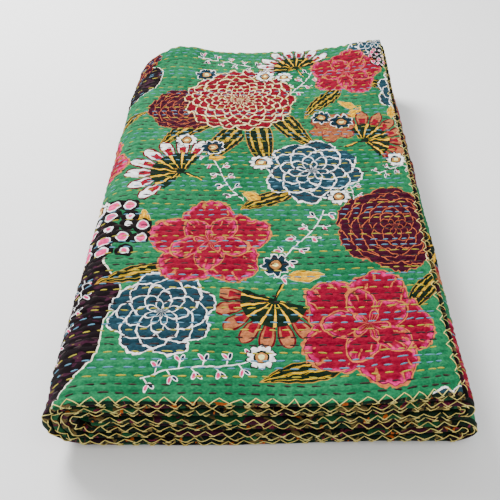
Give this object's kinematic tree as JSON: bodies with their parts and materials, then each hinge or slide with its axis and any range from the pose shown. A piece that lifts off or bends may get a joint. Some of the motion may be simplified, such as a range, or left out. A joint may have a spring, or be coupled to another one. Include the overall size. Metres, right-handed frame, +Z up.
{
  "type": "folded kantha quilt",
  "caption": "Thick cotton quilt folded into a flat rectangular stack, with one wide rounded fold on the left, hems at the front and rows of running stitch.",
  "frame": {"origin": "under the middle of the folded stack, on the surface that it lies on", "axes": "+Z up from the surface, +Y from the open hems at the front to the fold at the back, +X from the wide rounded fold to the side of the short hem"},
  "size_m": [0.4772, 0.777, 0.1168],
  "materials": {
    "quilted_cotton": "matte printed cotton with running stitch"
  },
  "bodies": {
    "root": {"folded_quilt": "quilted_cotton"}
  },
  "joints": []
}
